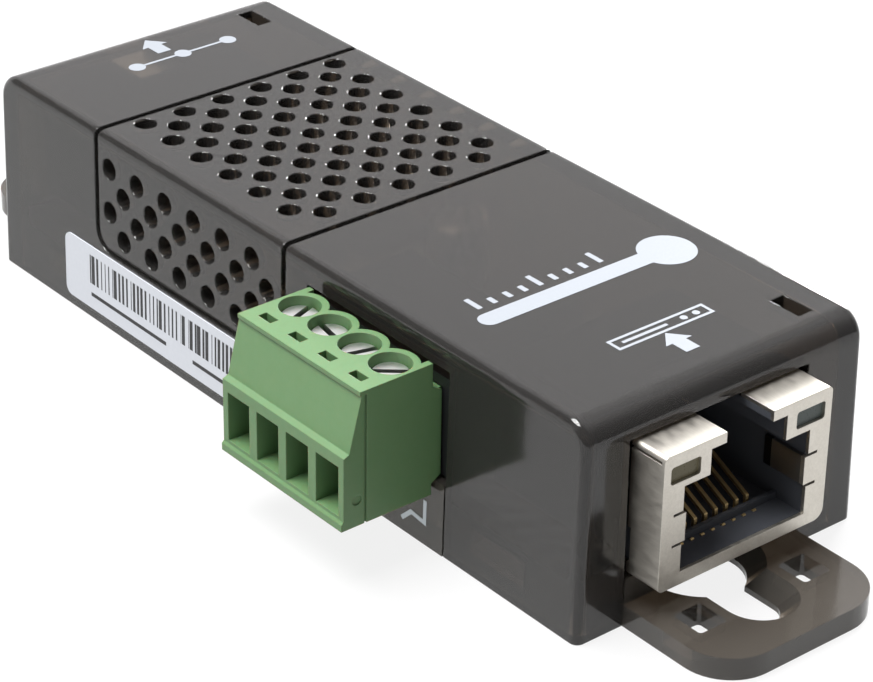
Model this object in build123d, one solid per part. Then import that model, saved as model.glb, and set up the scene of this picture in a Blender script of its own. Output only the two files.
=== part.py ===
"""Rack temperature sensor: vented two-piece housing, two network jacks and a pluggable terminal.

Millimetres. +Z is up, the length runs along Y, the front jack faces -Y and the terminal -X.
The origin is the centre of the underside.
"""
import os

from build123d import *

# Housing
cover_width_base = 27.3
cover_length_base = 73.0
side_draft = 0.35
end_draft = 0.15
cover_wall = 1.5
end_round = 2.1
side_round = 0.7
cavity_round = 0.4
cover_width_top = cover_width_base - 2 * side_draft
cover_length_top = cover_length_base - 2 * end_draft
half_width = cover_width_base / 2
half_length = cover_length_base / 2

# Base
base_thickness = 1.8
base_gap = 0.1
filler_margin = 0.3
tab_width = 16.4
tab_out = 10.3
tab_reach = half_length + tab_out
tab_centre_x = -1.1
tab_round = 4.0
tab_slot_width = 2.6
tab_slot_length = 2.8
tab_slot_offset = 5.1
tab_slot_y = tab_reach - 5.8
tab_slot_round = 0.3
keyhole_head_radius = 3.45
keyhole_shank_radius = 1.6
keyhole_head_y = tab_reach - 11.2
keyhole_shank_y = tab_reach - 5.2
keyhole_flare = 1.35
keyhole_wide_radius = keyhole_head_radius + keyhole_flare
keyhole_land = 0.45
keyhole_rim = 1.0
hook_length = 5.9
hook_height = 2.0
hook_bite = 0.5
hook_arm = 1.2
hook_setback = 0.2
hook_edge = 0.3
hook_y = half_length - 9.2
hook_z = 1.6

# Network jack, in its own frame: port towards -Y, centred on X
jack_centre_x = -0.75
jack_width = 16.1
jack_bottom_z = base_thickness + 2.15
jack_depth = 16.3
jack_face_y = half_length + 2.8
jack_fit = 0.2
shield_sheet = 0.3
shield_round = 0.45
shield_low_round = 0.9
port_width = 12.1
port_height = 7.0
port_bottom_z = jack_bottom_z + 1.05
port_top_z = port_bottom_z + port_height
port_depth = 12.3
latch_width = 7.3
latch_height = 2.05
latch_top_z = port_top_z + latch_height
latch_depth = 8.5
jack_top_z = latch_top_z + 0.85
roof_gap = 4.5
light_width = 2.8
light_height = 1.4
light_x = 6.0
light_z = jack_top_z - 1.7
light_length = 3.0
light_recess = 0.25
light_round = 0.25
ear_z = port_bottom_z + 3.65
ear_height = 2.3
ear_slit = 0.22
ear_slit_depth = 0.9
ear_length = 4.0
ear_lift = 0.3
side_slit_z = jack_top_z - 0.6
side_slit = 0.22
side_slit_end = 2.0
side_window_height = 2.9
side_window_z = jack_bottom_z + 2.5
side_window_y = 3.0
side_window_length = 2.4
contact_pitch = 1.016
contact_count = 8
contact_width = 0.3
contact_thick = 0.25
contact_tip_y = 2.5
contact_rise_y = 3.35
contact_rise_z = port_bottom_z + 0.9
contact_end_y = 10.3
contact_sink = 0.45
contact_slope_degrees = 26.0
comb_height = 0.55
comb_thick = 0.35
insert_back = 0.6

# Height of the housing: it clears the jacks
jack_headroom = 1.0
cover_height = jack_top_z + jack_headroom + cover_wall

# Terminal: header on the board, plug outside
pole_pitch = 3.5
pole_count = 4
terminal_y = 22.75 - half_length
window_width = 16.4
window_top_z = cover_height - 2.1
sill_z = 6.0
sill_thick = 1.0
plug_width = 14.3
plug_top_z = cover_height - 1.6
plug_bottom_z = 4.95
plug_inner_x = -half_width - 0.3
plug_lip_x = plug_inner_x - 6.5
plug_lip = 0.35
plug_lip_step = 0.15
plug_shoulder_z = plug_top_z - 4.7
plug_shoulder_x = plug_inner_x - 7.45
plug_shoulder_step = 0.2
plug_face_x = plug_inner_x - 7.95
plug_slab = 0.75
plug_slab_step = 0.2
plug_root_x = plug_inner_x + 0.85
plug_root_step = 0.5
nose_low_z = plug_bottom_z + 1.45
nose_top_z = plug_top_z - 2.4
nose_fit = 0.15
nose_end_inset = 0.35
header_mouth_x = plug_root_x + 0.15
header_collar_end_x = plug_root_x + 0.9
header_back_x = plug_root_x + 10.1
header_width = 15.6
header_top_z = window_top_z - 0.9
header_wall = 0.85
header_back = 1.2
header_slope = 0.8
header_leg_x = header_back_x + 1.1
leg_hole_radius = 0.8
nose_tip_x = plug_root_x + 7.6
pin_z = (nose_low_z + nose_top_z) / 2
pin_size = 1.0
pin_tip_x = plug_root_x + 2.1
pin_bevel = 0.2
cheek_line_x = plug_inner_x - 6.0
cheek_line = 0.2
cheek_line_depth = 0.15
well_x = plug_inner_x - 2.3
well_radius = 1.6
well_boss_radius = 2.15
scallop_end = 0.55
well_floor_z = plug_top_z - 2.7
probe_x = plug_inner_x - 5.15
probe_length = 1.45
probe_width = 0.75
probe_depth = 1.6
entry_width = 2.6
entry_low_z = plug_bottom_z + 1.0
entry_top_z = plug_bottom_z + 5.05
cage_length = 3.4
cage_width = 2.5
cage_height = 4.6
cage_sheet = 0.5
cage_top = 1.0
cage_low_z = plug_bottom_z + 1.15
cage_travel = 1.7
cage_fit = 0.15
screw_head_radius = 1.45
screw_head_height = 2.0
screw_shank_radius = 1.0
screw_slot_width = 0.5
screw_slot_depth = 0.7
screw_fit = 0.15
screw_bevel = 0.15
screw_seat_gap = 0.05
thread_fit = 0.05
screw_tip_gap = 0.1
screw_angles = [20.0, 80.0, -15.0, -40.0]
strip_thick = 0.4
strip_width = 1.2
leaf_gap = 0.05
leaf_length = 5.6
leaf_tip_inset = 0.3

# Vents and the groove that frames them
vent_diameter = 1.8
vent_pitch = 3.8
vent_margin = 1.3
vent_side_rows = 4
vent_side_top_z = cover_height - 2.8
groove_width = 0.5
groove_depth = 0.4
groove_rear_y = half_length - 14.3
groove_front_y = terminal_y + 11.15
groove_bottom_z = vent_side_top_z - 7.4
groove_round = 1.8
vent_first_y = groove_rear_y - 1.5
vent_side_first_y = groove_rear_y - 1.8
vent_centre_y = (groove_rear_y + groove_front_y) / 2
vent_run = groove_rear_y - groove_front_y - 2 * vent_margin
vent_top_rows = int(vent_run / (vent_pitch / 2)) + 1
vent_top_columns = int((cover_width_top - 4 * vent_margin) / vent_pitch) + 1
vent_side_columns = int((vent_run - vent_pitch / 2) / vent_pitch) + 1

# Slot through the roof near each right-hand corner
peep_length = 2.9
peep_width = 1.4
peep_x = half_width - 3.8
peep_y = half_length - 4.2

# Board
board_thickness = 1.6
board_z = base_thickness + 2.2
board_top_z = board_z + board_thickness
board_width = cover_width_base - 3.8
board_length = cover_length_base - 5.0
board_edge_gap = 0.15
post_radius = 1.4
post_pin_radius = 0.8
post_x = half_width - 4.4
post_fit = 0.1
post_pin_rise = 0.6
post_places = [
    (-post_x, half_length - 17.0),
    (post_x, half_length - 17.0),
    (-post_x, groove_front_y - 0.7),
    (post_x, 19.0 - half_length),
]
solder_reach = 0.9

# Label on the left wall
label_rear_y = half_length - 9.6
label_front_y = terminal_y + 8.45
label_low_z = 1.0
label_top_z = 6.7
label_thick = 0.12
label_round = 0.8

# Components on the board: place (x, y) and size
chip_bevel_share = 0.15
sensor_place = (0.0, vent_centre_y + 0.3)
sensor_size = (3.0, 3.0, 1.1)
sensor_opening_radius = 0.6
sensor_opening_depth = 0.4
controller_place = (half_width - 7.4, vent_centre_y + 1.2)
controller_size = (7.0, 7.0, 1.0)
driver_place = (7.4 - half_width, vent_centre_y - 4.1)
driver_size = (5.0, 4.0, 1.4)
regulator_place = (half_width - 7.4, terminal_y + 4.75)
regulator_size = (6.5, 3.6, 1.6)
can_place = (half_width - 6.9, vent_centre_y - 8.6)
can_radius = 2.5
can_height = 5.4
can_round = 0.5
can_neck_z = 0.8
can_neck = 0.4
can_neck_depth = 0.2
crystal_place = (1.0, vent_centre_y - 11.6)
crystal_length = 8.0
crystal_width = 3.2
crystal_height = 2.4
crystal_round = 0.4

# Ejector marks on the plug's cheeks
dimple_x = plug_inner_x - 6.75
dimple_z = plug_bottom_z + 2.15
dimple_radius = 0.4
dimple_depth = 0.1


def block(x0, x1, y0, y1, z0, z1):
    """Box between two corners."""
    size = (abs(x1 - x0), abs(y1 - y0), abs(z1 - z0))
    return Pos((x0 + x1) / 2, (y0 + y1) / 2, (z0 + z1) / 2) * Box(*size)


def tube(radius, x, y, z0, z1):
    """Upright cylinder between two heights."""
    return Pos(x, y, (z0 + z1) / 2) * Cylinder(radius, z1 - z0)


def cover_form(inset):
    """Drafted outer form of the housing, shrunk by inset on the sides and the top.

    The top rolls over at both ends; each side face has one small round all the way about.
    """
    low = Rectangle(cover_width_base - 2 * inset, cover_length_base - 2 * inset)
    high = Rectangle(cover_width_top - 2 * inset, cover_length_top - 2 * inset)
    form = loft([low, Pos(0, 0, cover_height - inset) * high])
    top_ends = form.edges().group_by(Axis.Z)[-1].filter_by(Axis.X)
    form = fillet(top_ends, max(end_round - inset, cavity_round))
    side_faces = form.faces().sort_by(Axis.X)
    rims = side_faces[0].edges() + side_faces[-1].edges()
    rims = [edge for edge in rims if edge.center().Z > cavity_round]
    return fillet(rims, max(side_round - inset, cavity_round))


outer_form = cover_form(0)
cavity_form = cover_form(cover_wall)
floor_form = cover_form(cover_wall + base_gap)


def pole_ys():
    """Y of each terminal pole, rear one first."""
    first = terminal_y + pole_pitch * (pole_count - 1) / 2
    return [first - pole_pitch * k for k in range(pole_count)]


def groove_cutter():
    """U-shaped band seen from the side, kept to the outer skin, so it wraps top and sides."""
    length = groove_rear_y - groove_front_y
    reach = cover_height + 2 - groove_bottom_z
    middle_y = (groove_rear_y + groove_front_y) / 2
    middle_z = groove_bottom_z + reach / 2
    outline = Rectangle(length + groove_width, reach + groove_width)
    outline = fillet(outline.vertices().group_by(Axis.Y)[0], groove_round + groove_width / 2)
    inner = Rectangle(length - groove_width, reach - groove_width)
    inner = fillet(inner.vertices().group_by(Axis.Y)[0], groove_round - groove_width / 2)
    band = outline - inner - Pos(0, reach / 2) * Rectangle(length - groove_width, 2 * groove_width)
    side = Plane(origin=(0, middle_y, middle_z), x_dir=(0, 1, 0), z_dir=(1, 0, 0))
    cutter = extrude(side * band, cover_width_base, both=True)
    return cutter - cover_form(groove_depth)


def vent_cutters():
    """Staggered round vents through the roof and through both side walls."""
    cutters = []
    for row in range(vent_top_rows):
        columns = vent_top_columns - row % 2
        y = vent_first_y - row * vent_pitch / 2
        for column in range(columns):
            x = (column - (columns - 1) / 2) * vent_pitch
            cutters.append(tube(vent_diameter / 2, x, y, cover_height - 3, cover_height + 1))
    across = Rot(0, 90, 0) * Cylinder(vent_diameter / 2, 2 * cover_width_base)
    for row in range(vent_side_rows):
        z = vent_side_top_z - row * vent_pitch / 2
        for column in range(vent_side_columns):
            y = vent_side_first_y - (column + (row % 2) / 2) * vent_pitch
            cutters.append(Pos(0, y, z) * across)
    return cutters


def port_notch(end, fit):
    """Space that a jack and its filler wall take out of an end wall; end is -1 front, 1 rear."""
    inside = end * (half_length - cover_wall - 2)
    outside = end * (half_length + 2)
    half = jack_width / 2 + jack_fit + filler_margin - fit
    top = jack_top_z + jack_fit
    return block(jack_centre_x - half, jack_centre_x + half, inside, outside, -1, top)


def window_notch(fit, top):
    """Space that the terminal and its sill take out of the left wall."""
    half = window_width / 2 - fit
    outside = -half_width - 1
    inside = -half_width + side_draft + cover_wall + 1
    return block(outside, inside, terminal_y - half, terminal_y + half, -1, top)


def make_top_cover():
    cover = outer_form - cavity_form
    cover -= groove_cutter()
    cover -= vent_cutters()
    for end in (-1, 1):
        cover -= port_notch(end, 0)
        cover -= peep_slot(end)
        for side in (-1, 1):
            cover -= hook_pocket(side, end)
    return cover - window_notch(0, window_top_z)


def peep_slot(end):
    """Slot through the roof near a right-hand corner."""
    low_z = cover_height - cover_wall - 1
    slot = block(-peep_width / 2, peep_width / 2, -peep_length / 2, peep_length / 2, low_z, cover_height + 1)
    return Pos(peep_x, end * peep_y, 0) * slot


def hook_pocket(side, end):
    """Pocket inside a side wall that a snap hook of the base clicks into."""
    room = hook_bite + base_gap
    inner = half_width - cover_wall - 1
    outer = half_width - cover_wall + room
    half = hook_length / 2 + base_gap
    y = end * hook_y
    low = hook_z - base_gap
    high = hook_z + hook_height + base_gap
    return block(side * inner, side * outer, y - half, y + half, low, high)


def snap_hook(side, end):
    """Upright arm with a wedge that bites into the cover's pocket."""
    wall_x = half_width - cover_wall - base_gap
    high = hook_z + hook_height
    wedge = Polyline(
        (wall_x - hook_arm, 0),
        (wall_x - hook_arm, high),
        (wall_x - hook_setback, high),
        (wall_x + hook_bite, hook_z + hook_edge),
        (wall_x + hook_bite, hook_z),
        (wall_x - hook_setback, hook_z),
        (wall_x - hook_setback, 0),
        close=True,
    )
    hook = extrude(Plane.XZ * make_face(wedge), hook_length / 2, both=True)
    turn = 0 if side > 0 else 180
    return Pos(0, end * hook_y, 0) * Rot(0, 0, turn) * hook


def keyhole_cutter():
    """Keyhole of the front tab: head circle under the jack, shank slot outwards, flared upwards."""
    land = keyhole_land
    rise = base_thickness - land
    head = tube(keyhole_head_radius, 0, -keyhole_head_y, -1, land)
    shank = tube(keyhole_shank_radius, 0, -keyhole_shank_y, -1, land)
    flare = Pos(0, 0, land + rise / 2)
    wide = keyhole_wide_radius
    narrow = keyhole_shank_radius + keyhole_flare
    head += flare * Pos(0, -keyhole_head_y) * Cone(keyhole_head_radius, wide, rise)
    head += tube(wide, 0, -keyhole_head_y, base_thickness, jack_bottom_z + 1)
    shank += flare * Pos(0, -keyhole_shank_y) * Cone(keyhole_shank_radius, narrow, rise)
    channel = Polyline(
        (-keyhole_shank_radius, -1),
        (keyhole_shank_radius, -1),
        (keyhole_shank_radius, land),
        (narrow, base_thickness),
        (narrow, base_thickness + 1),
        (-narrow, base_thickness + 1),
        (-narrow, base_thickness),
        (-keyhole_shank_radius, land),
        close=True,
    )
    start = Plane(origin=(0, -keyhole_head_y, 0), x_dir=(1, 0, 0), z_dir=(0, -1, 0))
    run = extrude(start * make_face(channel), keyhole_shank_y - keyhole_head_y)
    return head + shank + run


def make_tab():
    """Front mounting tab with its two strap slots, reaching in under the jack."""
    inner_y = keyhole_head_y - keyhole_wide_radius - keyhole_rim
    plate = Pos(0, -(tab_reach + inner_y) / 2) * Rectangle(tab_width, tab_reach - inner_y)
    plate = fillet(plate.vertices().group_by(Axis.Y)[0], tab_round)
    tab = extrude(plate, base_thickness)
    slot = Rectangle(tab_slot_width, tab_slot_length)
    slot = fillet(slot.vertices(), tab_slot_round)
    for side in (-1, 1):
        tab -= extrude(Pos(side * tab_slot_offset, -tab_slot_y, -1) * slot, base_thickness + 2)
    return tab


def keyhole_rim_wall():
    """Round wall inside the housing that closes it off from the keyhole's head."""
    wide = keyhole_wide_radius + keyhole_rim
    ring = tube(wide, 0, -keyhole_head_y, 0, jack_bottom_z - base_gap)
    return ring & (Pos(-tab_centre_x, 0, 0) * outer_form)


def end_filler():
    """Front wall piece below the jack that closes the cover's notch, flush with its outside."""
    notch = port_notch(-1, base_gap)
    wall = (outer_form - cavity_form) & notch & below(jack_bottom_z - base_gap)
    return wall + (outer_form & notch & below(base_thickness))


def side_filler():
    """Left wall piece below the terminal, with a thin sill in front of the header."""
    notch = window_notch(base_gap, sill_z)
    wall = (outer_form - cover_form(sill_thick)) & notch
    return wall + (outer_form & notch & below(base_thickness))


def below(z):
    """Everything under a height, as wide and as long as the whole part."""
    return block(-tab_reach, tab_reach, -tab_reach, tab_reach, 0, z)


def make_base_plate():
    """Floor, both ends with their tab and filler, the terminal's sill, the hooks and the posts."""
    shift = Pos(tab_centre_x, 0, 0)
    keyhole = shift * keyhole_cutter()
    front = shift * (make_tab() + keyhole_rim_wall()) + end_filler() - keyhole
    floor = (floor_form & below(base_thickness)) - keyhole - mirror(keyhole, Plane.XZ)
    base = floor + front + mirror(front, Plane.XZ) + side_filler()
    for end in (-1, 1):
        for side in (-1, 1):
            base += snap_hook(side, end)
    for x, y in post_places:
        base += tube(post_radius, x, y, 0, board_z)
        base += tube(post_pin_radius, x, y, 0, board_top_z + post_pin_rise)
    return base


def make_circuit_board():
    half_width = board_width / 2
    half_length = board_length / 2
    board = block(-half_width, half_width, -half_length, half_length, board_z, board_top_z)
    cut_half = jack_width / 2 + board_edge_gap
    cut_y = jack_face_y - jack_depth - board_edge_gap
    for end in (-1, 1):
        left = jack_centre_x - cut_half
        right = jack_centre_x + cut_half
        board -= block(left, right, end * cut_y, end * (half_length + 1), 0, board_top_z + 1)
    for x, y in post_places:
        board -= tube(post_pin_radius + post_fit, x, y, 0, board_top_z + 1)
    for y in pole_ys():
        board -= tube(leg_hole_radius, header_leg_x, y, 0, board_top_z + 1)
    return board


def towards_low_right(edge):
    """Grows towards the lower right corner of the jack, seen from the front."""
    return edge.center().X - edge.center().Z


def jack_form(inset, front, back):
    """Outer form of the jack, shrunk by inset, in its own frame with the front face at y = 0."""
    half = jack_width / 2 - inset
    form = block(-half, half, front, back, jack_bottom_z + inset, jack_top_z - inset)
    runs = form.edges().filter_by(Axis.Y).sort_by(towards_low_right)
    form = fillet(runs[:-1], shield_round - inset)
    low_right = form.edges().filter_by(Axis.Y).sort_by(towards_low_right)[-1]
    return fillet(low_right, shield_low_round - inset)


def port_profile(front, back):
    """Port, latch slot and their depth."""
    port = block(-port_width / 2, port_width / 2, front, back, port_bottom_z, port_top_z)
    latch_back = min(back, latch_depth)
    latch = block(-latch_width / 2, latch_width / 2, front, latch_back, port_top_z - 0.5, latch_top_z)
    return port + latch


def make_jack_shield():
    inner = jack_width / 2 - shield_sheet
    shield = jack_form(0, 0, jack_depth) - jack_form(shield_sheet, shield_sheet, jack_depth + 1)
    shield -= port_profile(-1, shield_sheet + 0.1)
    shield -= block(-roof_gap / 2, roof_gap / 2, -1, latch_depth, latch_top_z - 1, jack_top_z + 1)
    for side in (-1, 1):
        shield -= light_form(side, -1, 1)
        shield -= ear_slits(side)
        shield += port_ear(side)
    top = side_slit_z + side_slit
    shield -= block(-jack_width, -inner, shield_sheet, jack_depth - side_slit_end, side_slit_z, top)
    low = side_window_z - side_window_height / 2
    end = side_window_y + side_window_length
    return shield - block(-jack_width, -inner, side_window_y, end, low, low + side_window_height)


def ear_slits(side):
    """Slits above and below a spring ear in the front frame."""
    start = port_width / 2 - ear_slit
    end = port_width / 2 + ear_slit_depth
    cuts = []
    for low in (ear_z - ear_height / 2 - ear_slit, ear_z + ear_height / 2):
        cuts.append(block(side * start, side * end, -1, shield_sheet + 0.1, low, low + ear_slit))
    return cuts


def port_ear(side):
    """Grounding ear bent from the front frame back along the port's side wall."""
    outer = port_width / 2
    inner = outer - ear_lift
    low = ear_z - ear_height / 2
    return block(side * inner, side * outer, 0, ear_length, low, low + ear_height)


def make_jack_insert():
    insert = jack_form(shield_sheet, shield_sheet, jack_depth - insert_back)
    insert -= port_profile(-1, port_depth)
    insert -= block(-roof_gap / 2, roof_gap / 2, -1, latch_depth, latch_top_z - 1, jack_top_z + 1)
    comb_back = contact_rise_y - contact_thick
    comb_front = comb_back - comb_thick
    comb_top = port_bottom_z + comb_height
    half = port_width / 2
    insert += block(-half, half, comb_front, comb_back, port_bottom_z - 0.1, comb_top)
    for side in (-1, 1):
        insert -= light_form(side, light_recess, light_recess + light_length)
    return insert


def light_form(side, front, back):
    """Rounded bar along the jack where a light window sits."""
    bar = Pos(side * light_x, (front + back) / 2, light_z) * Box(light_width, back - front, light_height)
    return fillet(bar.edges().filter_by(Axis.Y), light_round)


def make_jack_contacts():
    """Eight bent spring wires: tip in the floor, under the comb, then up at a slope."""
    low_z = port_bottom_z - contact_sink
    rise = contact_end_y - contact_rise_y
    slope = Vector(1, 0).rotate(Axis.Z, contact_slope_degrees)
    end_z = contact_rise_z + rise * slope.Y / slope.X
    path = Polyline(
        (contact_tip_y, port_bottom_z),
        (contact_tip_y, low_z),
        (contact_rise_y, low_z),
        (contact_rise_y, contact_rise_z),
        (contact_end_y, end_z),
    )
    flat = make_face(path.offset_2d(contact_thick / 2, side=Side.BOTH))
    wires = []
    for index in range(contact_count):
        x = (index - (contact_count - 1) / 2) * contact_pitch
        plane = Plane(origin=(x - contact_width / 2, 0, 0), x_dir=(0, 1, 0), z_dir=(1, 0, 0))
        wires.append(extrude(plane * flat, contact_width))
    return wires


def place_jack(piece, end):
    """Puts a jack piece at the front (-1) or turned round at the rear (1)."""
    turn = 0 if end < 0 else 180
    return Pos(jack_centre_x, end * jack_face_y, 0) * Rot(0, 0, turn) * piece


def make_terminal_header():
    """Shroud open towards the plug: sloped upper back edge, and a collar that passes the wall."""
    outer = header_width / 2
    low_y = terminal_y - outer
    high_y = terminal_y + outer
    body = block(header_collar_end_x, header_back_x, low_y, high_y, board_top_z, header_top_z)
    top_edges = body.edges().filter_by(Axis.Y).group_by(Axis.Z)[-1]
    body = chamfer(top_edges.sort_by(Axis.X)[-1:], header_slope)
    low = nose_low_z - nose_fit
    body += block(header_mouth_x, header_collar_end_x, low_y, high_y, low, header_top_z)
    high = nose_top_z + nose_fit
    inner = header_back_x - header_back
    low_y += header_wall
    high_y -= header_wall
    body -= block(header_mouth_x - 1, inner, low_y, high_y, low, high)
    for y in pole_ys():
        body -= header_pin(y)
    return body


def header_pin(y):
    """Square pin along X through the header's back, bent down into the board."""
    half = pin_size / 2
    leg_low = board_z - solder_reach
    outline = Polyline(
        (pin_tip_x, pin_z - half),
        (header_leg_x - half, pin_z - half),
        (header_leg_x - half, leg_low),
        (header_leg_x + half, leg_low),
        (header_leg_x + half, pin_z + half),
        (pin_tip_x, pin_z + half),
        close=True,
    )
    pin = extrude(Plane.XZ * make_face(outline), half, both=True)
    return Pos(0, y, 0) * chamfer(pin.edges().filter_by(Axis.Y).group_by(Axis.X)[0], pin_bevel)


def plug_profile():
    """Side outline of the plug, seen along Y, without its nose."""
    slab_top = plug_bottom_z + plug_slab
    lip_z = plug_top_z - plug_lip
    return Polyline(
        (plug_inner_x, plug_bottom_z),
        (plug_face_x - plug_slab_step, plug_bottom_z),
        (plug_face_x - plug_slab_step, slab_top - plug_slab_step),
        (plug_face_x, slab_top),
        (plug_face_x, plug_shoulder_z - plug_shoulder_step),
        (plug_shoulder_x, plug_shoulder_z),
        (plug_lip_x + plug_lip_step, lip_z),
        (plug_lip_x, lip_z),
        (plug_lip_x, plug_top_z),
        (plug_inner_x, plug_top_z),
        (plug_inner_x, nose_top_z + plug_root_step),
        (plug_root_x, nose_top_z),
        (plug_root_x, nose_low_z),
        (plug_inner_x, nose_low_z - plug_root_step),
        close=True,
    )


def make_plug_housing():
    outline = make_face(plug_profile())
    body = Pos(0, terminal_y, 0) * extrude(Plane.XZ * outline, plug_width / 2, both=True)
    body -= scallop_cutter()
    half = plug_width / 2 - nose_end_inset
    body += block(plug_root_x - 1, nose_tip_x, terminal_y - half, terminal_y + half, nose_low_z, nose_top_z)
    for side in (-1, 1):
        y = terminal_y + side * plug_width / 2
        start = cheek_line_x - cheek_line / 2
        body -= block(start, start + cheek_line, y - cheek_line_depth, y + cheek_line_depth,
                      plug_bottom_z - 1, plug_top_z - plug_lip)
        mark = Rot(90, 0, 0) * Cylinder(dimple_radius, 2 * dimple_depth)
        body -= Pos(dimple_x, y, dimple_z) * mark
    for y in pole_ys():
        body -= pole_cutter(y)
    return body


def scallop_cutter():
    """Takes the top plate's inner edge back to a row of round bosses round the wells."""
    low = nose_top_z + plug_root_step
    half = plug_width / 2 - scallop_end
    cutter = block(well_x, plug_inner_x + 1, terminal_y - half, terminal_y + half, low, plug_top_z + 1)
    for y in pole_ys():
        cutter -= tube(well_boss_radius, well_x, y, low - 1, plug_top_z + 2)
    return cutter


def pole_cutter(y):
    """Everything hollow in one pole: well, screw passage, cage room, entry, probe and contact."""
    cage_half = cage_length / 2 + cage_fit
    cage_side = cage_width / 2 + cage_fit
    cage_floor = cage_low_z - cage_fit
    cage_roof = cage_low_z + cage_height + cage_travel + cage_fit
    cut = tube(well_radius, well_x, y, well_floor_z, plug_top_z + 1)
    cut += tube(screw_shank_radius + screw_fit, well_x, y, cage_roof - 1, well_floor_z + 1)
    cut += block(well_x - cage_half, well_x + cage_half, y - cage_side, y + cage_side,
                 cage_floor, cage_roof)
    half = entry_width / 2
    cut += block(plug_face_x - 1, well_x - cage_half + 0.1, y - half, y + half,
                 entry_low_z, entry_top_z)
    probe_half = probe_width / 2
    cut += block(probe_x - probe_half, probe_x + probe_half, y - probe_length / 2,
                 y + probe_length / 2, plug_top_z - probe_depth, plug_top_z + 1)
    return cut + contact_room(y)


def contact_room(y):
    """Slot in the nose that holds one spring contact and lets the pin in."""
    half = strip_width / 2
    reach = pin_size / 2 + leaf_gap + strip_thick
    start = well_x + cage_length / 2
    return block(start, nose_tip_x + 1, y - half, y + half, pin_z - reach, pin_z + reach)


def make_plug_contact(y):
    """Strip through the cage above the wire, ending in two leaves that grip the header pin."""
    half = strip_width / 2
    grip = pin_size / 2 + leaf_gap
    reach = grip + strip_thick
    tip = nose_tip_x - leaf_tip_inset
    root = tip - leaf_length
    start = well_x - cage_length / 2 + leaf_tip_inset
    lower = block(start, tip, y - half, y + half, pin_z - reach, pin_z - grip)
    upper = block(root, tip, y - half, y + half, pin_z + grip, pin_z + reach)
    web = block(root - strip_thick, root, y - half, y + half, pin_z - reach, pin_z + reach)
    return lower + upper + web


def make_cage(y):
    """Rising cage: square loop with a thick tapped top."""
    half = cage_length / 2
    side = cage_width / 2
    low = cage_low_z
    cage = block(well_x - half, well_x + half, y - side, y + side, low, low + cage_height)
    cage -= block(well_x - half - 1, well_x + half + 1, y - side + cage_sheet, y + side - cage_sheet,
                  low + cage_sheet, low + cage_height - cage_top)
    bore = screw_shank_radius + thread_fit
    return cage - tube(bore, well_x, y, low + cage_sheet + 1, low + cage_height + 1)


def make_screw(y, angle):
    """Slotted cheese-head clamp screw standing in its well."""
    seat = well_floor_z + screw_seat_gap
    top = seat + screw_head_height
    head = tube(screw_head_radius, 0, 0, seat, top)
    head = chamfer(head.edges().group_by(Axis.Z)[-1], screw_bevel)
    slot = screw_slot_width / 2
    reach = screw_head_radius + 1
    head -= block(-reach, reach, -slot, slot, top - screw_slot_depth, top + 1)
    strip_top = pin_z - pin_size / 2 - leaf_gap
    shank = tube(screw_shank_radius, 0, 0, strip_top + screw_tip_gap, seat)
    return Pos(well_x, y, 0) * Rot(0, 0, angle) * (head + shank)


def make_side_label():
    """Sticker wrapped on the drafted left wall."""
    skin = label_skin()
    length = label_rear_y - label_front_y
    height = label_top_z - label_low_z
    outline = fillet(Rectangle(length, height).vertices(), label_round)
    centre = (0, (label_rear_y + label_front_y) / 2, (label_low_z + label_top_z) / 2)
    side = Plane(origin=centre, x_dir=(0, 1, 0), z_dir=(-1, 0, 0))
    return extrude(side * outline, cover_width_base) & skin


def label_skin():
    """Thin layer just outside the left wall."""
    grown = Pos(-label_thick, 0, 0) * outer_form
    return grown - outer_form


def chip(place, size):
    """Plain chip body on the board with softened top edges."""
    body = Pos(*place, board_top_z + size[2] / 2) * Box(*size)
    return chamfer(body.edges().group_by(Axis.Z)[-1], size[2] * chip_bevel_share)


def make_climate_sensor():
    """Small sensing chip under the vents with a round opening in its lid."""
    body = chip(sensor_place, sensor_size)
    low = board_top_z + sensor_size[2] - sensor_opening_depth
    return body - tube(sensor_opening_radius, *sensor_place, low, low + 1)


def make_capacitor():
    """Upright can capacitor with a rolled neck."""
    can = tube(can_radius, *can_place, board_top_z, board_top_z + can_height)
    can = fillet(can.edges().group_by(Axis.Z)[-1], can_round)
    low = board_top_z + can_neck_z
    ring = tube(can_radius + 1, *can_place, low, low + can_neck)
    return can - (ring - tube(can_radius - can_neck_depth, *can_place, low - 1, low + 2))


def make_crystal():
    """Oval metal can of the clock crystal."""
    outline = Pos(*crystal_place) * Rot(0, 0, 90) * SlotOverall(crystal_length, crystal_width)
    can = extrude(Pos(0, 0, board_top_z) * outline, crystal_height)
    return fillet(can.edges().group_by(Axis.Z)[-1], crystal_round)


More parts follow.
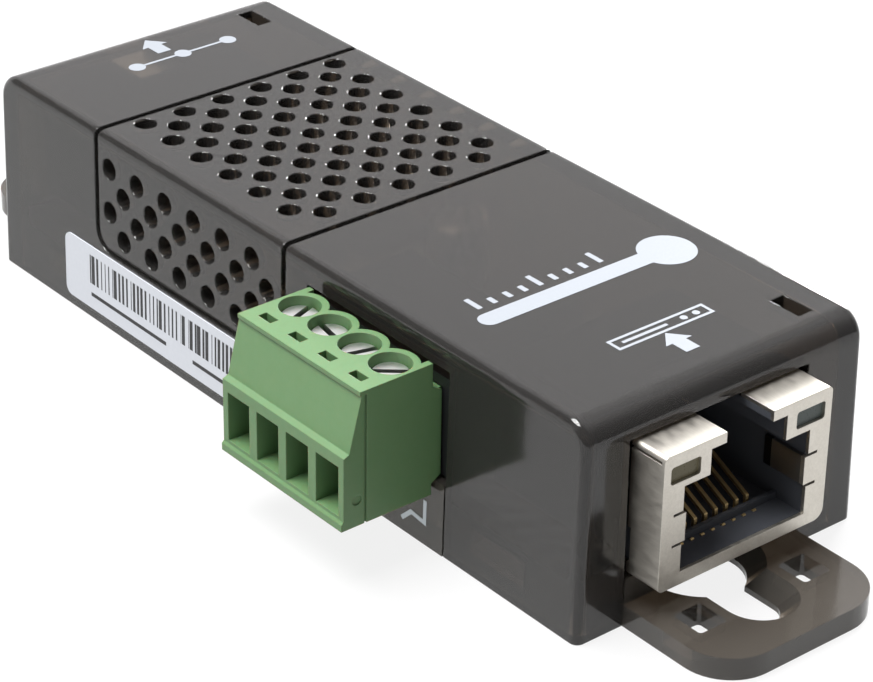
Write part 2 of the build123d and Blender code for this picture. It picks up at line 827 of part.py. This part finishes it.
def build_parts():
    parts = {
        "top_cover": make_top_cover(),
        "base_plate": make_base_plate(),
        "side_label": make_side_label(),
        "circuit_board": make_circuit_board(),
        "climate_sensor": make_climate_sensor(),
        "controller_chip": chip(controller_place, controller_size),
        "line_driver_chip": chip(driver_place, driver_size),
        "regulator_chip": chip(regulator_place, regulator_size),
        "storage_capacitor": make_capacitor(),
        "clock_crystal": make_crystal(),
        "terminal_header": make_terminal_header(),
        "plug_housing": make_plug_housing(),
    }
    for name, end in (("front", -1), ("rear", 1)):
        parts[name + "_jack_shield"] = place_jack(make_jack_shield(), end)
        parts[name + "_jack_insert"] = place_jack(make_jack_insert(), end)
        parts[name + "_jack_contacts"] = Compound(
            children=[place_jack(wire, end) for wire in make_jack_contacts()]
        )
        lens_end = light_recess + light_length
        parts[name + "_left_lens"] = place_jack(light_form(-1, light_recess, lens_end), end)
        parts[name + "_right_lens"] = place_jack(light_form(1, light_recess, lens_end), end)
    for index, y in enumerate(pole_ys()):
        number = str(index + 1)
        parts["header_pin_" + number] = header_pin(y)
        parts["plug_contact_" + number] = make_plug_contact(y)
        parts["clamp_cage_" + number] = make_cage(y)
        parts["clamp_screw_" + number] = make_screw(y, screw_angles[index])
    return parts


os.makedirs("parts", exist_ok=True)
for node, shape in build_parts().items():
    export_step(shape, "parts/" + node + ".step")
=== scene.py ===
"""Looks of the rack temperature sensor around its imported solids. Metres, in the same frame."""
import math

import bmesh
import bpy
from mathutils import Matrix, Vector


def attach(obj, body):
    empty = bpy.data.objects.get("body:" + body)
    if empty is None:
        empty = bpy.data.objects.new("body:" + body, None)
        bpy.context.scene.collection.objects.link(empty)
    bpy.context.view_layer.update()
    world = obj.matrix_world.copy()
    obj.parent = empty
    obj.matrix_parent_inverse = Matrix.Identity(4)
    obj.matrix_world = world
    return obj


MM = 0.001

# Camera: direction from the object, roll, distance, offset across the view, lens
VIEW_AZIMUTH = math.radians(-39.802)
VIEW_ELEVATION = math.radians(29.461)
VIEW_ROLL = math.radians(0.937)
VIEW_DISTANCE = 248.096 * MM
VIEW_RIGHT = 2.9216 * MM
VIEW_UP = 3.0166 * MM
SENSOR_WIDTH = 36.0
LENS = 128.52
CLIP_START = 10 * MM

# Surroundings: brightness on the lit side and towards the dark side
DARK_SIDE = (-0.35, -0.93, 0.0)
DARK_START = -0.2
DARK_END = 0.45
BRIGHT = 1.03
DIM = 0.22
# Dark gap that the long left edge mirrors as a line
GAP_SIDE = (-0.492, 0.669, 0.557)
GAP_START = 0.84
GAP_END = 0.97
GAP_DIM = 0.2
SKY_COLOUR = (1.0, 0.985, 1.0, 1.0)

# Square lights: place, width and power in watts
KEY_LIGHT = ((-0.24, 0.15, 0.82), 0.5, 15.5)
RIM_LIGHT = ((0.80, 0.41, 0.31), 0.3, 10.0)
LIGHT_AIM = (0, 0, 0.008)

# Floor, just under the object's feet
FLOOR_REACH = 3.0
FLOOR_DROP = 0.02 * MM
FLOOR_GLOW = 0.85

# Pairs of colours that a material drifts between, and single colours
COVER_SMOKE = ((0.95, 0.91, 0.87), (0.91, 0.87, 0.83))
BASE_SMOKE = ((0.95, 0.87, 0.77), (0.91, 0.83, 0.73))
SMOKE_TINT = (0.50, 0.455, 0.40, 1.0)
GREEN = ((0.096, 0.190, 0.078), (0.116, 0.210, 0.093))
NICKEL = ((0.55, 0.522, 0.468), (0.70, 0.665, 0.60))
# Painted shade on the jack shield: inside the port, and nearly black inside the housing
NICKEL_PORT_SHADE = (0.30, 0.285, 0.265)
NICKEL_HOUSING_SHADE = (0.04, 0.04, 0.04)
HEADER_BLACK = ((0.006, 0.006, 0.008), (0.010, 0.010, 0.012))
INSERT_BLACK = ((0.050, 0.054, 0.064), (0.066, 0.071, 0.082))
GOLD = ((0.60, 0.43, 0.19), (0.68, 0.51, 0.26))
TIN = ((0.66, 0.66, 0.64), (0.78, 0.77, 0.75))
ZINC = ((0.74, 0.75, 0.74), (0.82, 0.82, 0.80))
SLOT_SHADE = (0.02, 0.02, 0.022)
LEFT_LENS = ((0.105, 0.092, 0.050), (0.125, 0.110, 0.062))
RIGHT_LENS = ((0.070, 0.085, 0.080), (0.085, 0.102, 0.095))
SOLDER_MASK = ((0.150, 0.125, 0.095), (0.210, 0.175, 0.135))
CHIP = ((0.018, 0.018, 0.02), (0.035, 0.035, 0.038))
PAPER = ((0.50, 0.52, 0.56), (0.54, 0.56, 0.60))
STRIPE_INK = (0.012, 0.012, 0.014)
TOP_INK = ((0.24, 0.26, 0.29), (0.27, 0.29, 0.32))
WALL_INK = ((0.52, 0.56, 0.61), (0.57, 0.61, 0.66))
FLOOR_WHITE = ((0.06, 0.06, 0.06), (0.08, 0.08, 0.08))

# Smoked plastic: absorption per metre and share of clear material
COVER_DENSITY = 2600.0
COVER_CLEAR = 0.979
BASE_DENSITY = 3300.0
BASE_CLEAR = 0.945

# Places on the metal parts where shade is painted, in millimetres
PORT_X = (-8.5, 7.0)
PORT_Y = (-38.9, 38.9)
PORT_Z = (4.4, 14.2)
IN_HOUSING_Y = (-36.0, 36.0)
DRIVER_SLOT_Z = (14.4, 15.1)

# Copper tracks under the solder mask
TRACK_SCALE = 260.0
TRACK_DISTORTION = 6.0
TRACK_SHARE = (0.6, 0.7)

# Label on the left wall: stripes and the rules under them, in millimetres
STRIPES_PER_MM = 1.9
STRIPE_SHARE = (0.1, 0.95)
STRIPE_Y = (-4.0, 23.6)
STRIPE_Z = (3.3, 5.9)
RULE_Y = ((12.6, 23.2), (-4.0, 9.0))
RULE_Z = (2.15, 2.5)

# Housing under the prints, in millimetres
TOP_Z = 17.4
HALF_WIDTH = 13.65
WALL_DRAFT = 0.35

# Prints on the housing: places and sizes, in millimetres
PRINT_RISE = 0.02
FRONT_ARROW = (-0.1, -31.2)
REAR_ARROW = (-0.3, 32.65)
ARROW_LENGTH = 2.9
ARROW_HEAD = 2.5
ARROW_STEM = 1.3
THERMOMETER = (0.6, -20.6)
BULB_X = 8.0
BULB_RADIUS = 2.3
TUBE_END_X = -9.2
TUBE_RADIUS = 0.85
TICK_COUNT = 9
TICK_START = 0.3
TICK_PITCH = 1.45
TICK_WIDTH = 0.45
TICK_GAP = 0.7
TICK_SHORT = 1.6
TICK_LONG = 2.4
TICKS_PER_LONG = 4
RACK_UNIT = (0.3, -28.9)
RACK_HALF_SIZE = (4.6, 0.75)
RACK_LINE = 0.26
RACK_HANDLE = (-3.7, -0.15, 0.6, 0.15)
RACK_LIGHTS = (2.2, 3.4)
RACK_LIGHT_RADIUS = 0.3
SENSOR_CHAIN = (0.7, 30.0)
CHAIN_PITCH = 4.6
CHAIN_DOT = 0.72
CHAIN_HALF_LINE = 0.14
ZIGZAG = ((-0.1, -0.95), (0.95, 0.05), (2.5, -0.15), (2.5, 1.75))
ZIGZAG_LINE = 0.36
ZIGZAG_PLACE = (-17.3, 2.0)

# Rims of the cover's openings: lengths in millimetres, angles in degrees
WELD_REACH = 0.001
FLAT_ANGLE = 0.5
RIM_ROUND = 0.1
RIM_SEGMENTS = 3
RIM_ANGLE = 50
FLAT_FACE_WEIGHT = 100

# Most of a noise texture's values lie between these
NOISE_LOW = 0.3
NOISE_HIGH = 0.7

# Colour sockets of a Mix node, whose names are shared with its other sockets
MIX_FIRST = 6
MIX_SECOND = 7
MIX_RESULT = 2


def camera_axes():
    """Right, up and backward directions of the camera."""
    back = Vector((
        math.sin(VIEW_AZIMUTH) * math.cos(VIEW_ELEVATION),
        -math.cos(VIEW_AZIMUTH) * math.cos(VIEW_ELEVATION),
        math.sin(VIEW_ELEVATION),
    ))
    right = Vector((0, 0, 1)).cross(back).normalized()
    up = back.cross(right)
    turned_right = right * math.cos(VIEW_ROLL) + up * math.sin(VIEW_ROLL)
    turned_up = up * math.cos(VIEW_ROLL) - right * math.sin(VIEW_ROLL)
    return turned_right, turned_up, back


def make_camera():
    right, up, back = camera_axes()
    data = bpy.data.cameras.new("camera")
    data.sensor_width = SENSOR_WIDTH
    data.lens = LENS
    data.clip_start = CLIP_START
    camera = bpy.data.objects.new("camera", data)
    place = back * VIEW_DISTANCE + right * VIEW_RIGHT + up * VIEW_UP
    axes = Matrix((right, up, back)).transposed().to_4x4()
    camera.matrix_world = Matrix.Translation(place) @ axes
    bpy.context.scene.collection.objects.link(camera)
    bpy.context.scene.camera = camera


class Shader:
    """One node material with short calls for what the materials here need."""

    def __init__(self, name):
        self.material = bpy.data.materials.new(name)
        self.material.use_nodes = True
        self.tree = self.material.node_tree
        self.surface = self.tree.nodes["Principled BSDF"]
        self.place = self.add("ShaderNodeTexCoord").outputs["Object"]

    def add(self, kind, **values):
        node = self.tree.nodes.new(kind)
        for key, value in values.items():
            setattr(node, key, value)
        return node

    def link(self, source, target):
        self.tree.links.new(source, target)

    def feed(self, source, socket, alpha=()):
        """Links a socket or sets a plain value on it."""
        if isinstance(source, bpy.types.NodeSocket):
            self.link(source, socket)
        elif alpha:
            socket.default_value = (*source, *alpha)
        else:
            socket.default_value = source

    def set(self, **values):
        """Plain numbers and colours, straight on the shader's sockets."""
        for key, value in values.items():
            self.surface.inputs[key.replace("_", " ")].default_value = value

    def stretched(self, scale):
        """Object place, scaled per axis."""
        mapping = self.add("ShaderNodeMapping")
        mapping.inputs["Scale"].default_value = scale
        self.link(self.place, mapping.inputs["Vector"])
        return mapping.outputs["Vector"]

    def noise(self, size_mm, detail, stretch=(1, 1, 1)):
        """Noise whose features are about size_mm wide."""
        node = self.add("ShaderNodeTexNoise")
        node.inputs["Scale"].default_value = 1.0 / (size_mm * MM)
        node.inputs["Detail"].default_value = detail
        self.link(self.stretched(stretch), node.inputs["Vector"])
        return node.outputs["Fac"]

    def span(self, source, low, high, start=NOISE_LOW, end=NOISE_HIGH):
        """Maps start..end of a value to low..high."""
        node = self.add("ShaderNodeMapRange")
        node.inputs["From Min"].default_value = start
        node.inputs["From Max"].default_value = end
        node.inputs["To Min"].default_value = low
        node.inputs["To Max"].default_value = high
        self.link(source, node.inputs["Value"])
        return node.outputs["Result"]

    def blend(self, factor, first, second):
        """Colour between two colours; either may be a socket."""
        node = self.add("ShaderNodeMix", data_type="RGBA")
        self.link(factor, node.inputs["Factor"])
        self.feed(first, node.inputs[MIX_FIRST], alpha=(1.0,))
        self.feed(second, node.inputs[MIX_SECOND], alpha=(1.0,))
        return node.outputs[MIX_RESULT]

    def math(self, operation, first, second=0.0):
        node = self.add("ShaderNodeMath", operation=operation)
        self.feed(first, node.inputs[0])
        self.feed(second, node.inputs[1])
        return node.outputs[0]

    def axis(self, letter):
        """One coordinate in millimetres."""
        split = self.add("ShaderNodeSeparateXYZ")
        self.link(self.place, split.inputs[0])
        return self.math("MULTIPLY", split.outputs[letter], 1 / MM)

    def between(self, value, low, high):
        """1 where a value lies between two limits, else 0."""
        above = self.math("GREATER_THAN", value, low)
        return self.math("MULTIPLY", above, self.math("LESS_THAN", value, high))

    def colour(self, source):
        self.link(source, self.surface.inputs["Base Color"])

    def drift(self, colours, size_mm, detail):
        """Base colour that drifts between two colours."""
        self.colour(self.blend(self.noise(size_mm, detail), *colours))

    def gloss(self, low, high, size_mm, detail, stretch=(1, 1, 1)):
        """Roughness that drifts between two values."""
        rough = self.span(self.noise(size_mm, detail, stretch), low, high)
        self.link(rough, self.surface.inputs["Roughness"])

    def soft_edges(self, radius_mm):
        """Shades sharp edges as if they had a small round."""
        node = self.add("ShaderNodeBevel", samples=4)
        node.inputs["Radius"].default_value = radius_mm * MM
        self.link(node.outputs["Normal"], self.surface.inputs["Normal"])

    def bump(self, source, height_mm):
        node = self.add("ShaderNodeBump")
        node.inputs["Strength"].default_value = 1.0
        node.inputs["Distance"].default_value = height_mm * MM
        self.link(source, node.inputs["Height"])
        self.link(node.outputs["Normal"], self.surface.inputs["Normal"])


def smoke_plastic(name, colours, density, clear):
    """Clear smoked polycarbonate: glossy skin over a material that swallows most light."""
    shader = Shader(name)
    shader.set(Transmission_Weight=clear, IOR=1.5)
    shader.drift(colours, size_mm=9.0, detail=2.0)
    shader.gloss(0.09, 0.12, size_mm=0.8, detail=4.0)
    absorb = shader.add("ShaderNodeVolumeAbsorption")
    absorb.inputs["Color"].default_value = SMOKE_TINT
    absorb.inputs["Density"].default_value = density
    output = shader.tree.nodes["Material Output"]
    shader.link(absorb.outputs["Volume"], output.inputs["Volume"])
    return shader.material


def green_plastic():
    shader = Shader("green_plastic")
    shader.set(Subsurface_Weight=0.15, Subsurface_Scale=0.0006, Specular_IOR_Level=0.4)
    shader.drift(GREEN, size_mm=1.6, detail=4.0)
    shader.gloss(0.38, 0.52, size_mm=0.5, detail=4.0)
    shader.soft_edges(0.12)
    return shader.material


def nickel_sheet():
    """Plated sheet steel, with painted shade inside the port and nearly black painted shade where
    it lies inside the housing.
    """
    shader = Shader("nickel_sheet")
    shader.set(Metallic=1.0)
    bright = shader.blend(shader.noise(0.15, 2.0, stretch=(1, 0.12, 1)), *NICKEL)
    port_shade_mask = shader.between(shader.axis("X"), *PORT_X)
    for letter, limits in (("Y", PORT_Y), ("Z", PORT_Z)):
        in_limits = shader.between(shader.axis(letter), *limits)
        port_shade_mask = shader.math("MULTIPLY", port_shade_mask, in_limits)
    housing_shade_mask = shader.between(shader.axis("Y"), *IN_HOUSING_Y)
    # Painted shade: darker inside the port, nearly black where the shield lies inside the housing
    port_shaded = shader.blend(port_shade_mask, bright, NICKEL_PORT_SHADE)
    shader.colour(shader.blend(housing_shade_mask, port_shaded, NICKEL_HOUSING_SHADE))
    shader.gloss(0.36, 0.48, size_mm=0.5, detail=4.0, stretch=(1, 0.3, 1))
    shader.soft_edges(0.06)
    return shader.material


def black_plastic(name, colours):
    shader = Shader(name)
    shader.drift(colours, size_mm=0.3, detail=4.0)
    shader.gloss(0.36, 0.5, size_mm=0.3, detail=4.0)
    shader.bump(shader.noise(0.1, 2.0), height_mm=0.003)
    return shader.material


def gold_wire():
    shader = Shader("gold_wire")
    shader.set(Metallic=1.0)
    shader.drift(GOLD, size_mm=0.7, detail=2.0)
    shader.gloss(0.38, 0.5, size_mm=0.2, detail=3.0)
    return shader.material


def tinned_metal():
    shader = Shader("tinned_metal")
    shader.set(Metallic=1.0)
    shader.drift(TIN, size_mm=0.8, detail=3.0)
    shader.gloss(0.2, 0.38, size_mm=0.3, detail=4.0)
    return shader.material


def zinc_screw():
    """Bright zinc, with painted shade down in the driver slot."""
    shader = Shader("zinc_screw")
    shader.set(Metallic=1.0)
    bright = shader.blend(shader.noise(0.5, 3.0), *ZINC)
    # Painted shade: darker down towards the floor of the driver slot
    slot = shader.span(shader.axis("Z"), 1.0, 0.0, *DRIVER_SLOT_Z)
    shader.colour(shader.blend(slot, bright, SLOT_SHADE))
    shader.gloss(0.28, 0.36, size_mm=0.3, detail=3.0)
    return shader.material


def lens_plastic(name, colours):
    """Unlit light window."""
    shader = Shader(name)
    shader.set(Specular_IOR_Level=0.25)
    shader.drift(colours, size_mm=0.5, detail=3.0)
    shader.gloss(0.25, 0.4, size_mm=0.2, detail=3.0)
    return shader.material


def board_laminate():
    """Brown solder mask with faint copper tracks under it."""
    shader = Shader("board_laminate")
    tracks = shader.add("ShaderNodeTexWave", wave_type="BANDS", bands_direction="DIAGONAL")
    tracks.inputs["Scale"].default_value = TRACK_SCALE
    tracks.inputs["Distortion"].default_value = TRACK_DISTORTION
    shader.link(shader.place, tracks.inputs["Vector"])
    on_track = shader.span(tracks.outputs["Fac"], 0.0, 1.0, *TRACK_SHARE)
    shader.colour(shader.blend(on_track, *SOLDER_MASK))
    shader.gloss(0.25, 0.4, size_mm=0.8, detail=3.0)
    return shader.material


def chip_compound():
    shader = Shader("chip_compound")
    shader.drift(CHIP, size_mm=0.2, detail=4.0)
    shader.gloss(0.45, 0.65, size_mm=0.2, detail=4.0)
    return shader.material


def label_film():
    """White film with a band of plain stripes of uneven width and two thin rules below it."""
    shader = Shader("label_film")
    along = shader.axis("Y")
    up = shader.axis("Z")
    pitch = shader.math("MULTIPLY", along, STRIPES_PER_MM)
    cell = shader.add("ShaderNodeTexWhiteNoise", noise_dimensions="1D")
    shader.link(shader.math("FLOOR", pitch), cell.inputs["W"])
    width = shader.span(cell.outputs["Value"], *STRIPE_SHARE, 0.0, 1.0)
    inked = shader.math("LESS_THAN", shader.math("FRACT", pitch), width)
    inked = shader.math("MULTIPLY", inked, shader.between(up, *STRIPE_Z))
    inked = shader.math("MULTIPLY", inked, shader.between(along, *STRIPE_Y))
    for ends in RULE_Y:
        rule = shader.math(
            "MULTIPLY", shader.between(up, *RULE_Z), shader.between(along, *ends)
        )
        inked = shader.math("MAXIMUM", inked, rule)
    paper = shader.blend(shader.noise(0.4, 4.0), *PAPER)
    shader.colour(shader.blend(inked, paper, STRIPE_INK))
    shader.gloss(0.45, 0.6, size_mm=0.3, detail=3.0)
    return shader.material


def print_ink(name, colours):
    shader = Shader(name)
    shader.drift(colours, size_mm=0.2, detail=4.0)
    shader.gloss(0.4, 0.6, size_mm=0.1, detail=3.0)
    return shader.material


def floor_paper():
    """Pale floor that glows a little, so it stays white away from the lights."""
    shader = Shader("studio_floor")
    shader.set(Emission_Color=(1.0, 1.0, 1.0, 1.0), Emission_Strength=FLOOR_GLOW)
    shader.drift(FLOOR_WHITE, size_mm=40.0, detail=3.0)
    shader.gloss(0.75, 0.85, size_mm=15.0, detail=3.0)
    return shader.material


def dress_nodes():
    """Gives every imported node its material."""
    nickel = nickel_sheet()
    tinned = tinned_metal()
    chip = chip_compound()
    by_ending = {
        "top_cover": smoke_plastic("cover_smoke", COVER_SMOKE, COVER_DENSITY, COVER_CLEAR),
        "base_plate": smoke_plastic("base_smoke", BASE_SMOKE, BASE_DENSITY, BASE_CLEAR),
        "side_label": label_film(),
        "circuit_board": board_laminate(),
        "climate_sensor": chip,
        "chip": chip,
        "storage_capacitor": tinned,
        "clock_crystal": nickel,
        "terminal_header": black_plastic("header_black", HEADER_BLACK),
        "plug_housing": green_plastic(),
        "jack_shield": nickel,
        "jack_insert": black_plastic("insert_black", INSERT_BLACK),
        "jack_contacts": gold_wire(),
        "left_lens": lens_plastic("left_lens", LEFT_LENS),
        "right_lens": lens_plastic("right_lens", RIGHT_LENS),
        "header_pin": tinned,
        "plug_contact": tinned,
        "clamp_cage": tinned,
        "clamp_screw": zinc_screw(),
    }
    for name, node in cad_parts.items():
        kind = name.rstrip("0123456789_")
        ending = next(ending for ending in by_ending if kind.endswith(ending))
        node.data.materials.clear()
        node.data.materials.append(by_ending[ending])


def round_rims(node):
    """Breaks the sharp rims of vents and groove, as a mould leaves them."""
    weld = node.modifiers.new("weld", "WELD")
    weld.merge_threshold = WELD_REACH * MM
    flat = node.modifiers.new("flat", "DECIMATE")
    flat.decimate_type = "DISSOLVE"
    flat.angle_limit = math.radians(FLAT_ANGLE)
    rounded = node.modifiers.new("rounded", "BEVEL")
    rounded.width = RIM_ROUND * MM
    rounded.segments = RIM_SEGMENTS
    rounded.limit_method = "ANGLE"
    rounded.angle_limit = math.radians(RIM_ANGLE)
    rounded.use_clamp_overlap = False
    rounded.loop_slide = False
    shading = node.modifiers.new("shading", "WEIGHTED_NORMAL")
    shading.mode = "FACE_AREA"
    shading.weight = FLAT_FACE_WEIGHT


def print_piece(name, outlines, ink, place):
    """Thin printed shapes from outlines in the print's own millimetres, set by a placing matrix."""
    mesh = bpy.data.meshes.new(name)
    work = bmesh.new()
    for outline in outlines:
        work.faces.new([work.verts.new((x * MM, y * MM, 0)) for x, y in outline])
    work.normal_update()
    bmesh.ops.triangulate(work, faces=work.faces)
    lifted = bmesh.ops.extrude_face_region(work, geom=work.faces[:])["geom"]
    moved = [part for part in lifted if isinstance(part, bmesh.types.BMVert)]
    bmesh.ops.translate(work, verts=moved, vec=(0, 0, PRINT_RISE * MM))
    bmesh.ops.transform(work, matrix=place, verts=work.verts)
    bmesh.ops.recalc_face_normals(work, faces=work.faces)
    work.to_mesh(mesh)
    work.free()
    piece = bpy.data.objects.new(name, mesh)
    bpy.context.scene.collection.objects.link(piece)
    mesh.materials.append(ink)
    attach(piece, "sensor")


def on_top(x, y):
    return Matrix.Translation((x * MM, y * MM, TOP_Z * MM))


def on_left_wall(y, z):
    """Print's x runs along -Y and its y along +Z on the drafted wall."""
    lean = math.atan2(WALL_DRAFT, TOP_Z)
    x = -HALF_WIDTH + WALL_DRAFT * z / TOP_Z
    turn = Matrix.Rotation(lean, 4, "Y") @ Matrix(
        ((0, 0, -1, 0), (-1, 0, 0, 0), (0, 1, 0, 0), (0, 0, 0, 1))
    )
    return Matrix.Translation((x * MM, y * MM, z * MM)) @ turn


def arrow():
    """Arrow that points along +Y, with a head half as long as the whole."""
    tip = ARROW_LENGTH / 2
    head = ARROW_HEAD / 2
    stem = ARROW_STEM / 2
    return [
        (-stem, -tip), (stem, -tip), (stem, 0), (head, 0),
        (0, tip), (-head, 0), (-stem, 0),
    ]


def bar(x0, y0, x1, y1):
    return [(x0, y0), (x1, y0), (x1, y1), (x0, y1)]


def arc(x, y, radius, start, end, count):
    """Points on a circle from one angle in degrees to another, both ends included."""
    angles = [math.radians(start + (end - start) * k / count) for k in range(count + 1)]
    return [(x + radius * math.cos(a), y + radius * math.sin(a)) for a in angles]


def disc(x, y, radius, count=28):
    return arc(x, y, radius, 0, 360, count)[:-1]


def frame_bars(half_x, half_y, line):
    """Four bars round a rectangle."""
    in_x = half_x - line
    in_y = half_y - line
    return [
        bar(-half_x, -half_y, half_x, -in_y),
        bar(-half_x, in_y, half_x, half_y),
        bar(-half_x, -in_y, -in_x, in_y),
        bar(in_x, -in_y, half_x, in_y),
    ]


def stroke(points, width):
    """Outline of a line of points, mitred at its corners."""
    left, right = [], []
    for index, point in enumerate(points):
        before = Vector(points[max(index - 1, 0)])
        here = Vector(point)
        after = Vector(points[min(index + 1, len(points) - 1)])
        way_in = (here - before).normalized() if index else (after - here).normalized()
        way_out = (after - here).normalized() if after != here else way_in
        across = Vector((-way_in.y - way_out.y, way_in.x + way_out.x)).normalized()
        reach = width / 2 / across.dot(Vector((-way_in.y, way_in.x)))
        left.append(tuple(here + across * reach))
        right.append(tuple(here - across * reach))
    return left + right[::-1]


def thermometer():
    """Lying thermometer with a scale beside it."""
    opening = math.degrees(math.asin(TUBE_RADIUS / BULB_RADIUS))
    outline = arc(BULB_X, 0, BULB_RADIUS, 180 + opening, 540 - opening, 30)
    outline += arc(TUBE_END_X, 0, TUBE_RADIUS, 90, 270, 12)
    shapes = [outline]
    for index in range(TICK_COUNT):
        x = TUBE_END_X + TICK_START + TICK_PITCH * index
        reach = TICK_SHORT if index % TICKS_PER_LONG else TICK_LONG
        shapes.append(bar(x, TUBE_RADIUS + TICK_GAP, x + TICK_WIDTH, TUBE_RADIUS + reach))
    return shapes


def rack_unit():
    """Outline of a rack unit with a handle and two lights."""
    shapes = frame_bars(*RACK_HALF_SIZE, RACK_LINE)
    shapes.append(bar(*RACK_HANDLE))
    return shapes + [disc(x, 0, RACK_LIGHT_RADIUS, count=16) for x in RACK_LIGHTS]


def sensor_chain():
    """Three dots joined by a line."""
    shapes = [disc(x, 0, CHAIN_DOT) for x in (-CHAIN_PITCH, 0, CHAIN_PITCH)]
    near, far = CHAIN_DOT, CHAIN_PITCH - CHAIN_DOT
    for start, end in ((-far, -near), (near, far)):
        shapes.append(bar(start, -CHAIN_HALF_LINE, end, CHAIN_HALF_LINE))
    return shapes


def make_prints():
    top_ink = print_ink("top_ink", TOP_INK)
    wall_ink = print_ink("wall_ink", WALL_INK)
    print_piece("front_arrow_print", [arrow()], top_ink, on_top(*FRONT_ARROW))
    print_piece("rear_arrow_print", [arrow()], top_ink, on_top(*REAR_ARROW))
    print_piece("thermometer_print", thermometer(), top_ink, on_top(*THERMOMETER))
    print_piece("rack_unit_print", rack_unit(), top_ink, on_top(*RACK_UNIT))
    print_piece("sensor_chain_print", sensor_chain(), top_ink, on_top(*SENSOR_CHAIN))
    zigzag = stroke(ZIGZAG, ZIGZAG_LINE)
    print_piece("wall_zigzag_print", [zigzag], wall_ink, on_left_wall(*ZIGZAG_PLACE))


def make_floor():
    mesh = bpy.data.meshes.new("studio_floor")
    far = FLOOR_REACH
    corners = [(-far, -far, 0), (far, -far, 0), (far, far, 0), (-far, far, 0)]
    mesh.from_pydata(corners, [], [(0, 1, 2, 3)])
    mesh.materials.append(floor_paper())
    floor = bpy.data.objects.new("studio_floor", mesh)
    floor.location.z = -FLOOR_DROP
    bpy.context.scene.collection.objects.link(floor)


def area_light(name, place, size, power):
    """Soft square light aimed at the middle of the object."""
    data = bpy.data.lights.new(name, "AREA")
    data.shape = "SQUARE"
    data.size = size
    data.energy = power
    light = bpy.data.objects.new(name, data)
    light.location = place
    aim = Vector(LIGHT_AIM) - Vector(place)
    light.rotation_euler = aim.to_track_quat("-Z", "Y").to_euler()
    bpy.context.scene.collection.objects.link(light)


def world_ramp(nodes, links, side, start, end, before, after):
    """Brightness that goes from one value to another towards a side."""
    towards = nodes.new("ShaderNodeVectorMath")
    towards.operation = "DOT_PRODUCT"
    towards.inputs[1].default_value = side
    links.new(nodes["Texture Coordinate"].outputs["Generated"], towards.inputs[0])
    ramp = nodes.new("ShaderNodeMapRange")
    ramp.interpolation_type = "SMOOTHSTEP"
    ramp.inputs["From Min"].default_value = start
    ramp.inputs["From Max"].default_value = end
    ramp.inputs["To Min"].default_value = before
    ramp.inputs["To Max"].default_value = after
    links.new(towards.outputs["Value"], ramp.inputs["Value"])
    return ramp.outputs["Result"]


def make_world():
    """Soft white surroundings, dimmer towards the front, with a dark gap behind on the left."""
    world = bpy.data.worlds.new("studio")
    world.use_nodes = True
    nodes = world.node_tree.nodes
    links = world.node_tree.links
    nodes.new("ShaderNodeTexCoord")
    front = world_ramp(nodes, links, DARK_SIDE, DARK_START, DARK_END, BRIGHT, DIM)
    gap = world_ramp(nodes, links, GAP_SIDE, GAP_START, GAP_END, 1.0, GAP_DIM)
    product = nodes.new("ShaderNodeMath")
    product.operation = "MULTIPLY"
    links.new(front, product.inputs[0])
    links.new(gap, product.inputs[1])
    background = nodes["Background"]
    links.new(product.outputs[0], background.inputs["Strength"])
    background.inputs["Color"].default_value = SKY_COLOUR
    bpy.context.scene.world = world


def make_studio():
    make_world()
    bpy.context.scene.view_settings.view_transform = "Standard"
    area_light("key_light", *KEY_LIGHT)
    area_light("rim_light", *RIM_LIGHT)
    make_floor()


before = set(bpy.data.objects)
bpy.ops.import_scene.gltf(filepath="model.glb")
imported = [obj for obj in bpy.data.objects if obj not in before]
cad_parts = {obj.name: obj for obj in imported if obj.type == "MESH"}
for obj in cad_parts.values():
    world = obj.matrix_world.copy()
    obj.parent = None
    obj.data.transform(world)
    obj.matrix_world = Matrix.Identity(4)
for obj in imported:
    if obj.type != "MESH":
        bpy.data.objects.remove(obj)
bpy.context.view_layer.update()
make_camera()
make_studio()
dress_nodes()
round_rims(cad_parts["top_cover"])
make_prints()
